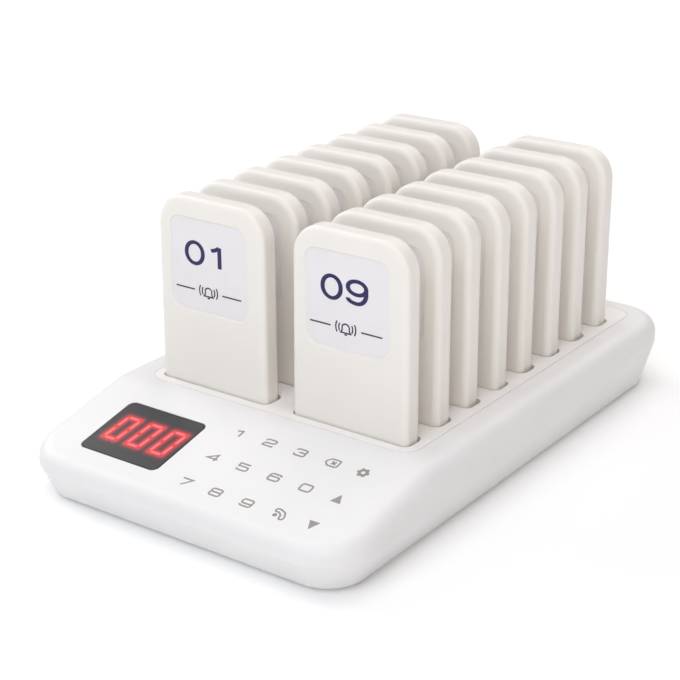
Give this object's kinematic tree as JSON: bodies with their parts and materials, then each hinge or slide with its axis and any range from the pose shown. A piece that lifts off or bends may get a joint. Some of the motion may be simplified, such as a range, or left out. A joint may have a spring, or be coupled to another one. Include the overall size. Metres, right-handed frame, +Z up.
{
  "type": "guest pager system",
  "caption": "Guest pager system: a low charging base with a sloped touch keypad and a red display, and slim pagers standing in columns that lift straight out of their wells.",
  "frame": {"origin": "on the table, under the middle of the charging base", "axes": "+X to the user's right, +Y from the keypad to the back, +Z up"},
  "size_m": [0.157, 0.2574, 0.111],
  "materials": {
    "base_shell": "satin",
    "insert_shell": "satin",
    "pager_shell": "satin",
    "smoked_window": "polished",
    "black_plastic": "moulded",
    "circuit_board": "solder resist",
    "pager_works": "solder resist",
    "contact_metal": "plated",
    "foot_rubber": "matt",
    "screw_steel": "zinc plated"
  },
  "bodies": {
    "base": {"top_casing": "base_shell", "dock_insert": "insert_shell", "bottom_casing": "base_shell", "display_window": "smoked_window", "display_module": "black_plastic", "keypad_board": "circuit_board", "control_board": "circuit_board", "charging_board": "circuit_board", "charging_contacts": "contact_metal", "dc_jack": "black_plastic", "feet": "foot_rubber", "screws": "screw_steel"},
    "pager_01": {"pager_01_front_shell": "pager_shell", "pager_01_rear_shell": "pager_shell", "pager_01_works": "pager_works"},
    "pager_02": {"pager_02_front_shell": "pager_shell", "pager_02_rear_shell": "pager_shell", "pager_02_works": "pager_works"},
    "pager_03": {"pager_03_front_shell": "pager_shell", "pager_03_rear_shell": "pager_shell", "pager_03_works": "pager_works"},
    "pager_04": {"pager_04_front_shell": "pager_shell", "pager_04_rear_shell": "pager_shell", "pager_04_works": "pager_works"},
    "pager_05": {"pager_05_front_shell": "pager_shell", "pager_05_rear_shell": "pager_shell", "pager_05_works": "pager_works"},
    "pager_06": {"pager_06_front_shell": "pager_shell", "pager_06_rear_shell": "pager_shell", "pager_06_works": "pager_works"},
    "pager_07": {"pager_07_front_shell": "pager_shell", "pager_07_rear_shell": "pager_shell", "pager_07_works": "pager_works"},
    "pager_08": {"pager_08_front_shell": "pager_shell", "pager_08_rear_shell": "pager_shell", "pager_08_works": "pager_works"},
    "pager_09": {"pager_09_front_shell": "pager_shell", "pager_09_rear_shell": "pager_shell", "pager_09_works": "pager_works"},
    "pager_10": {"pager_10_front_shell": "pager_shell", "pager_10_rear_shell": "pager_shell", "pager_10_works": "pager_works"},
    "pager_11": {"pager_11_front_shell": "pager_shell", "pager_11_rear_shell": "pager_shell", "pager_11_works": "pager_works"},
    "pager_12": {"pager_12_front_shell": "pager_shell", "pager_12_rear_shell": "pager_shell", "pager_12_works": "pager_works"},
    "pager_13": {"pager_13_front_shell": "pager_shell", "pager_13_rear_shell": "pager_shell", "pager_13_works": "pager_works"},
    "pager_14": {"pager_14_front_shell": "pager_shell", "pager_14_rear_shell": "pager_shell", "pager_14_works": "pager_works"},
    "pager_15": {"pager_15_front_shell": "pager_shell", "pager_15_rear_shell": "pager_shell", "pager_15_works": "pager_works"},
    "pager_16": {"pager_16_front_shell": "pager_shell", "pager_16_rear_shell": "pager_shell", "pager_16_works": "pager_works"}
  },
  "joints": [
    {"name": "pager_01_lift", "type": "slide", "parent": "base", "child": "pager_01", "axis": [0, 0, 1], "range_m": [0, 0.04]},
    {"name": "pager_02_lift", "type": "slide", "parent": "base", "child": "pager_02", "axis": [0, 0, 1], "range_m": [0, 0.04]},
    {"name": "pager_03_lift", "type": "slide", "parent": "base", "child": "pager_03", "axis": [0, 0, 1], "range_m": [0, 0.04]},
    {"name": "pager_04_lift", "type": "slide", "parent": "base", "child": "pager_04", "axis": [0, 0, 1], "range_m": [0, 0.04]},
    {"name": "pager_05_lift", "type": "slide", "parent": "base", "child": "pager_05", "axis": [0, 0, 1], "range_m": [0, 0.04]},
    {"name": "pager_06_lift", "type": "slide", "parent": "base", "child": "pager_06", "axis": [0, 0, 1], "range_m": [0, 0.04]},
    {"name": "pager_07_lift", "type": "slide", "parent": "base", "child": "pager_07", "axis": [0, 0, 1], "range_m": [0, 0.04]},
    {"name": "pager_08_lift", "type": "slide", "parent": "base", "child": "pager_08", "axis": [0, 0, 1], "range_m": [0, 0.04]},
    {"name": "pager_09_lift", "type": "slide", "parent": "base", "child": "pager_09", "axis": [0, 0, 1], "range_m": [0, 0.04]},
    {"name": "pager_10_lift", "type": "slide", "parent": "base", "child": "pager_10", "axis": [0, 0, 1], "range_m": [0, 0.04]},
    {"name": "pager_11_lift", "type": "slide", "parent": "base", "child": "pager_11", "axis": [0, 0, 1], "range_m": [0, 0.04]},
    {"name": "pager_12_lift", "type": "slide", "parent": "base", "child": "pager_12", "axis": [0, 0, 1], "range_m": [0, 0.04]},
    {"name": "pager_13_lift", "type": "slide", "parent": "base", "child": "pager_13", "axis": [0, 0, 1], "range_m": [0, 0.04]},
    {"name": "pager_14_lift", "type": "slide", "parent": "base", "child": "pager_14", "axis": [0, 0, 1], "range_m": [0, 0.04]},
    {"name": "pager_15_lift", "type": "slide", "parent": "base", "child": "pager_15", "axis": [0, 0, 1], "range_m": [0, 0.04]},
    {"name": "pager_16_lift", "type": "slide", "parent": "base", "child": "pager_16", "axis": [0, 0, 1], "range_m": [0, 0.04]}
  ]
}
